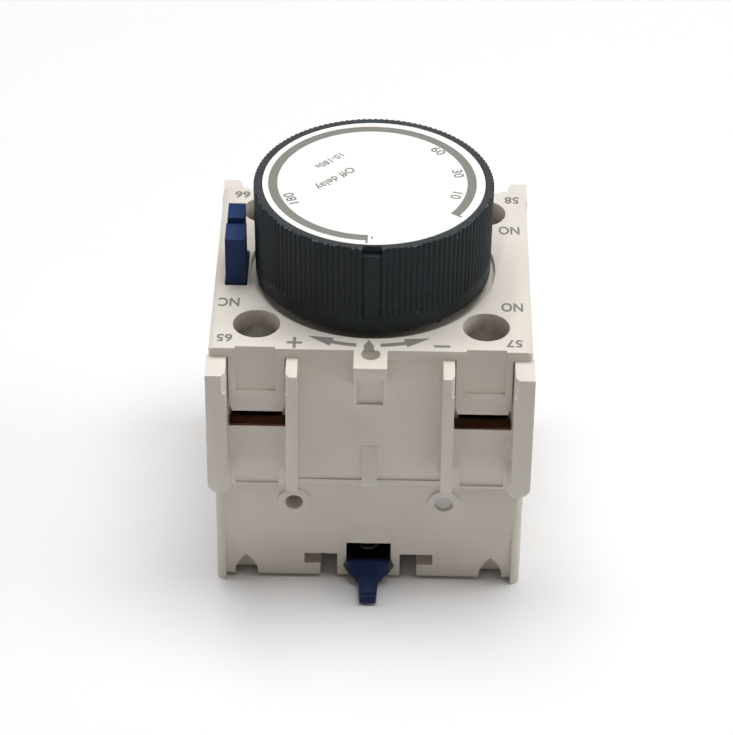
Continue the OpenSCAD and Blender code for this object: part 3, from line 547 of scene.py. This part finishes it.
SIDE_LEVELS = (  # heights over the foot: below the ribs, where they fade in, up the side, round the notch
    0.35, 0.6, 1.2, 1.9,
    RIB_FOOT, RIB_FOOT + 0.12, RIB_FOOT + 0.3, RIB_FOOT + RIB_FADE,
    4.2, 6.0, 8.0, 10.0, 11.6,
    NOTCH_LOW - 0.12, NOTCH_LOW - 0.01, NOTCH_LOW + 0.01, KNOB_RISE - 0.6, KNOB_RISE - 0.24)
TOP_ROUNDING = ((0.015, 0.16), (0.05, 0.08), (0.11, 0.02), (0.2, 0.0))  # (inset, drop below the top)
SEAT_R = DIAL_R + 0.08  # the dial's seat in the top
SEAT_DEPTH = 0.42
SEAT_BORE_R = 9.0
ROOF = 2.4  # from the top down to the hollow
HOLLOW_R = 14.37
ROOF_CHAMFER = 0.17  # inwards, at the hollow's top
ROOF_CHAMFER_RISE = 0.2
MOUTH_CHAMFER = 0.23  # outwards, at the hollow's mouth
MOUTH_LOW, MOUTH_HIGH = 0.3, 0.5
KNOB_SHARP = 34


def knob_radius(angle, height):
    """Outer radius of the knob at an angle from its front mark (radians) and a height over its foot."""
    across = abs(angle) * KNOB_R
    draft = KNOB_DRAFT * (1 - height / KNOB_RISE)
    groove = RIB_DEPTH * (1 - abs(math.cos(RIBS * angle / 2))) ** 0.8
    if across < PAD_HALF:
        groove = PAD_SINK
    elif across < PAD_HALF + PAD_GROOVE:
        groove = PAD_GROOVE_DEPTH
    groove *= min(max((height - RIB_FOOT) / RIB_FADE, 0), 1)
    at_slit = groove < SLIT_CLEAR and (angle * TEETH / (2 * math.pi)) % 1 < SLIT_SHARE
    return KNOB_R - draft - groove - (SLIT_DEPTH if at_slit else 0)


def tooth_drop(angle):
    """How far a small tooth hangs down from the foot at an angle (radians)."""
    pitch = 2 * math.pi / TEETH
    off = abs((angle + pitch / 2) % pitch - pitch / 2) * KNOB_R
    return TOOTH_DROP if off < TOOTH_HALF else max(0.0, TOOTH_DROP - (off - TOOTH_HALF) * TOOTH_SLOPE)


def knob_rings():
    """(radius, height over the foot) of each ring of the shell, as functions of the angle in radians.

    They run from the foot up the side, over the rim, down into the dial's seat and back down the hollow.
    """
    def side(height, inset=0.0):
        def radius(angle):
            plain = knob_radius(angle, height) - inset
            in_notch = abs(angle) * KNOB_R < NOTCH_HALF and height > NOTCH_LOW
            return min(plain, KNOB_R - NOTCH_DEPTH) if in_notch else plain
        return radius

    def same(value):
        return lambda angle: value

    rings = [(side(0, FOOT_INSET), lambda angle: TOOTH_DROP - tooth_drop(angle))]
    rings += [(side(height), same(height)) for height in SIDE_LEVELS]
    rings += [(side(KNOB_RISE - 0.01, inset), same(KNOB_RISE - drop)) for inset, drop in TOP_ROUNDING]
    inner = ((SEAT_R + 0.1, KNOB_RISE), (SEAT_R + 0.03, KNOB_RISE - 0.03), (SEAT_R, KNOB_RISE - 0.1),
             (SEAT_R, KNOB_RISE - SEAT_DEPTH), (SEAT_BORE_R, KNOB_RISE - SEAT_DEPTH),
             (SEAT_BORE_R, KNOB_RISE - ROOF), (HOLLOW_R - ROOF_CHAMFER, KNOB_RISE - ROOF),
             (HOLLOW_R, KNOB_RISE - ROOF - ROOF_CHAMFER_RISE), (HOLLOW_R, MOUTH_HIGH),
             (HOLLOW_R + MOUTH_CHAMFER, MOUTH_LOW))
    return rings + [(same(radius), same(level)) for radius, level in inner]


def make_knob():
    """The ribbed shell of the knob, as one closed skin of rings."""
    steps = RIBS * STEPS_A_RIB
    verts, faces = [], []
    rings = knob_rings()
    for radius_at, level_at in rings:
        for k in range(steps):
            angle = 2 * math.pi * k / steps
            signed = angle if angle <= math.pi else angle - 2 * math.pi
            turn = angle - math.pi / 2
            radius = radius_at(signed)
            verts.append((radius * math.cos(turn), AXIS_Y + radius * math.sin(turn),
                          KNOB_FOOT + level_at(signed)))
    for i in range(len(rings)):
        here, there = i * steps, (i + 1) % len(rings) * steps
        for k in range(steps):
            n = (k + 1) % steps
            faces.append((here + k, here + n, there + n, there + k))
    mesh = mesh_from("knob_shell", verts, faces)
    smooth_below(mesh, KNOB_SHARP)
    add_piece(mesh, knob_material(), "knob_charcoal", "knob", "timing_knob")


# ---- springs and bellows ---------------------------------------------------

WIRE_SIDES = 10
STEPS_A_TURN = 40
DEAD_TURNS = 0.6  # turns wound close at each end
DEAD_PITCH = 2.1  # wire radii from turn to turn there
SPRING_SHARP = 60
SPRINGS = (  # node, wire's radius, turns, start, the coils' x where not its box's middle, pressed between
    ("latch_spring", 0.22, 5.5, 90, (0.0,), ("latch", "housing")),
    ("return_springs", 0.22, 7.5, 0, (-6.0, 6.0), ("housing", "drive")),
    ("knob_spring", 0.3, 5.5, 0, (0.0,), ()),
    ("contact_spring_open", 0.17, 5.5, 0, (), ()),
    ("contact_spring_closed", 0.17, 5.5, 0, (), ()))

FOLDS = 6
FOLD_DEPTH = 1.9
FOLD_STEPS = 12
RUBBER = 0.45
BELLOWS_STEPS = 96
BELLOWS_SHARP = 50


def wind(verts, faces, centre, radius, wire, low, high, turns, start):
    """Adds one coil of round wire, its end turns wound closer, to a mesh being listed."""
    steps = int(turns * STEPS_A_TURN)
    base = len(verts)
    dead = min(DEAD_TURNS, turns / 8)
    live_pitch = (high - low - 2 * wire - 2 * dead * DEAD_PITCH * wire) / (turns - 2 * dead)
    for k in range(steps + 1):
        done = turns * k / steps
        closed = min(done, dead) + max(done - (turns - dead), 0)
        z = low + wire + DEAD_PITCH * wire * closed + live_pitch * (done - closed)
        a = math.radians(start) + 2 * math.pi * done
        for j in range(WIRE_SIDES):
            b = 2 * math.pi * j / WIRE_SIDES
            r = radius + wire * math.cos(b)
            verts.append((centre[0] + r * math.cos(a), centre[1] + r * math.sin(a), z + wire * math.sin(b)))
    for k in range(steps):
        here, there = base + k * WIRE_SIDES, base + (k + 1) * WIRE_SIDES
        for j in range(WIRE_SIDES):
            n = (j + 1) % WIRE_SIDES
            faces.append((here + j, here + n, there + n, there + j))
    faces.append(tuple(base + j for j in reversed(range(WIRE_SIDES))))
    faces.append(tuple(base + steps * WIRE_SIDES + j for j in range(WIRE_SIDES)))


def make_springs():
    """Round-wire coils in the CAD springs' boxes."""
    for node_name, wire, turns, start, xs, between in SPRINGS:
        low, high = box_mm(node_name)
        across = high.y - low.y if len(xs) > 1 else high.x - low.x
        verts, faces = [], []
        for x in xs or ((low.x + high.x) / 2,):
            wind(verts, faces, (x, (low.y + high.y) / 2), across / 2 - wire, wire, low.z, high.z, turns,
                 start)
        mesh = mesh_from(node_name.replace("spring", "coil"), verts, faces)
        smooth_below(mesh, SPRING_SHARP)
        replace_deforming(mesh, node_name, "spring_steel", between)


def make_bellows():
    """Pleated rubber tube with rounded folds, open inside."""
    low, high = box_mm("bellows")
    outer = (high.x - low.x) / 2
    pitch = (high.z - low.z) / FOLDS
    count = FOLDS * FOLD_STEPS
    profile = []
    for inset, order in ((0.0, range(count + 1)), (RUBBER, range(count, -1, -1))):
        for i in order:
            fold = FOLD_DEPTH * (0.5 + 0.5 * math.cos(2 * math.pi * i / FOLD_STEPS))
            profile.append((outer - inset - fold, low.z + pitch * i / FOLD_STEPS))
    verts, faces = [], []
    for k in range(BELLOWS_STEPS):
        a = 2 * math.pi * k / BELLOWS_STEPS
        verts += [(r * math.cos(a), AXIS_Y + r * math.sin(a), z) for r, z in profile]
    for k in range(BELLOWS_STEPS):
        here, there = k * len(profile), (k + 1) % BELLOWS_STEPS * len(profile)
        for i in range(len(profile)):
            n = (i + 1) % len(profile)
            faces.append((here + i, there + i, there + n, here + n))
    mesh = mesh_from("bellows_pleats", verts, faces)
    smooth_below(mesh, BELLOWS_SHARP)
    replace_deforming(mesh, "bellows", "bellows_rubber", ("drive", "housing"))


def replace_deforming(mesh, node_name, slot, between):
    """Puts a mesh in for a CAD node; with two bodies named it is left where it stands, on neither body, and
    does not stretch.
    """
    low, high = box_mm(node_name)
    if between:
        lower, upper = between
        add_piece(mesh, MATERIALS[slot], slot, lower, node_name, upper=upper, low=low.z, high=high.z)
    else:
        add_piece(mesh, MATERIALS[slot], slot, body_of(node_name), node_name)


# ---- prints ----------------------------------------------------------------
# Their places are relative to the knob's axis.

INK_LIFT = 0.001  # over the face, so that the two don't flicker
INK_THICK = 0.012
DIAL_WEIGHT = 0.03  # added to the strokes of the letters
PLATE_WEIGHT = 0.07

RING_CENTRE_X = -0.2
RING_INNER, RING_OUTER = 12.95, 14.2
RING_BANDS = (  # inner radius, outer radius, start, end, steps
    (RING_INNER, RING_OUTER, -33.9, 267.2, 160),
    (RING_INNER - 0.05, RING_OUTER + 0.45, -35.0, -33.92, 4),
    (RING_INNER, RING_OUTER + 0.65, 267.22, 268.3, 4),
    (RING_INNER + 0.25, RING_OUTER - 0.3, 270.2, 270.9, 3))
DIAL_NUMBERS = (("10", -14.3, 11.5), ("30", 12.2, 11.65), ("60", 42.9, 11.9), ("180", 202.3, 11.9))
NUMBER_SIZE = 2.0
DIAL_WORDS = (  # name, words, size, place, turn
    ("dial_function", "Off delay", 1.8, (-5.3, 0.8), -132.5),
    ("dial_range", "10-180s", 1.5, (-6.15, 5.3), -134))

PLATE_WORDS = (  # name, words, size, place, squeeze
    ("print_65", "65", 2.25, (-19.7, -17.2), 0.95), ("print_66", "66", 2.25, (-19.0, 17.9), 0.95),
    ("print_57", "57", 2.25, (19.3, -17.5), 0.95), ("print_58", "58", 2.25, (19.7, 17.5), 0.9),
    ("print_nc", "NC", 2.7, (-19.5, -8.9), 0.74), ("print_no_front", "NO", 2.7, (19.15, -9.1), 0.7),
    ("print_no_rear", "NO", 2.7, (19.15, 9.7), 0.7))
ARROWS = ((18.6, 264.0, 253.5, 242.8), (18.5, 274.0, 284.6, 295.5))  # radius, tail, neck, tip
ARROW_SHAFT = 0.74
ARROW_HEAD = 1.88
ARROW_STEPS = 8
POINTER = ((-0.28, -17.3), (-0.96, -18.59), (-0.9, -19.75), (0.5, -19.75), (0.38, -18.55))
PLUS_X, PLUS_Y = -10.25, -18.14
MINUS_X, MINUS_Y = 9.55, -18.5
SIGN_BAR = 0.5
PLUS_WIDE, MINUS_WIDE = 2.05, 2.15
PLUS_STUB_WIDE, PLUS_STUB, PLUS_STUB_OUT = 0.42, 0.99, 0.75


def add_print(mesh, body):
    add_piece(mesh, MATERIALS["print_grey"], "dial_white" if body == "knob" else "housing", body)


def flat_print(name, outlines, level, body):
    """Ink on a level face: closed outlines as thin slabs."""
    verts, faces = [], []
    for outline in outlines:
        count, base = len(outline), len(verts)
        for z in (level + INK_LIFT, level + INK_LIFT + INK_THICK):
            verts += [(x, y + AXIS_Y, z) for x, y in outline]
        faces.append(tuple(base + i for i in reversed(range(count))))
        faces.append(tuple(base + count + i for i in range(count)))
        for i in range(count):
            n = (i + 1) % count
            faces.append((base + i, base + n, base + count + n, base + count + i))
    add_print(mesh_from(name, verts, faces), body)


def text_print(name, words, size, place, turn, level, body, weight, squeeze=1.0):
    """Printed characters, centred on a place and turned by an angle; squeeze narrows them."""
    curve = bpy.data.curves.new(name, "FONT")
    curve.body = words
    curve.size = size * MM
    curve.align_x = "CENTER"
    curve.align_y = "CENTER"
    curve.extrude = INK_THICK / 2 * MM
    curve.offset = weight * MM
    curve.space_character = 1.05
    helper = bpy.data.objects.new(name + "_curve", curve)
    bpy.context.scene.collection.objects.link(helper)
    bpy.context.view_layer.update()
    mesh = bpy.data.meshes.new_from_object(helper.evaluated_get(bpy.context.evaluated_depsgraph_get()))
    bpy.data.objects.remove(helper)
    mesh.name = name
    middle = Vector((place[0], place[1] + AXIS_Y, level + INK_LIFT + INK_THICK / 2))
    mesh.transform(Matrix.Translation(middle * MM) @ Matrix.Rotation(math.radians(turn), 4, "Z")
                   @ Matrix.Diagonal((squeeze, 1, 1, 1)))
    mesh.materials.clear()
    add_print(mesh, body)


def polar(radius, angle):
    """A point at an angle in degrees from +X."""
    return radius * math.cos(math.radians(angle)), radius * math.sin(math.radians(angle))


def arc_band(inner, outer, start, end, steps, centre_x):
    """A closed outline of a stretch of a ring."""
    sweep = [start + (end - start) * i / steps for i in range(steps + 1)]
    points = [polar(outer, a) for a in sweep] + [polar(inner, a) for a in reversed(sweep)]
    return [(centre_x + x, y) for x, y in points]


def arc_arrow(radius, tail, neck, tip):
    """An arrow bent round the knob's axis: a curved shaft and a straight-sided head."""
    sweep = [tail + (neck - tail) * i / ARROW_STEPS for i in range(ARROW_STEPS + 1)]
    inner = [polar(radius - ARROW_SHAFT / 2, a) for a in sweep]
    outer = [polar(radius + ARROW_SHAFT / 2, a) for a in reversed(sweep)]
    head = [polar(radius - ARROW_HEAD / 2, neck), polar(radius, tip), polar(radius + ARROW_HEAD / 2, neck)]
    return inner + head + outer


def rectangle(x, y, w, d):
    return [(x - w / 2, y - d / 2), (x + w / 2, y - d / 2), (x + w / 2, y + d / 2), (x - w / 2, y + d / 2)]


def facing_up(outline):
    """An outline in counter-clockwise order."""
    pairs = zip(outline, list(outline[1:]) + [outline[0]])
    area = sum(a[0] * b[1] - b[0] * a[1] for a, b in pairs) / 2
    return list(reversed(outline)) if area < 0 else list(outline)


def make_dial_print():
    """The dial's grey ring with its end ticks and mark, its numbers and its words."""
    level = DIAL_HIGH.z
    flat_print("dial_ring_print", [arc_band(*band, RING_CENTRE_X) for band in RING_BANDS], level, "knob")
    for words, angle, radius in DIAL_NUMBERS:
        text_print(f"dial_number_{words}", words, NUMBER_SIZE, polar(radius, angle), angle - 90, level,
                   "knob", DIAL_WEIGHT)
    for name, words, size, place, turn in DIAL_WORDS:
        text_print(name, words, size, place, turn, level, "knob", DIAL_WEIGHT)


def make_plate_print():
    """The plate's terminal marks, read from behind, and the arrows and signs round the knob's front."""
    for name, words, size, place, squeeze in PLATE_WORDS:
        text_print(name, words, size, place, 180, PLATE_Z, "housing", PLATE_WEIGHT, squeeze)
    outlines = [facing_up(arc_arrow(*arrow)) for arrow in ARROWS] + [facing_up(POINTER)]
    outlines.append(rectangle(PLUS_X, PLUS_Y, PLUS_WIDE, SIGN_BAR))
    for out in (PLUS_STUB_OUT, -PLUS_STUB_OUT):
        outlines.append(rectangle(PLUS_X, PLUS_Y + out, PLUS_STUB_WIDE, PLUS_STUB))
    outlines.append(rectangle(MINUS_X, MINUS_Y, MINUS_WIDE, SIGN_BAR))
    flat_print("plate_arrows", outlines, PLATE_Z, "housing")


bpy.context.scene.view_settings.view_transform = "Standard"
make_camera()
make_lamps()
make_world()
make_floor()
make_materials()
finish_cad_nodes()
make_knob()
make_springs()
make_bellows()
make_dial_print()
make_plate_print()
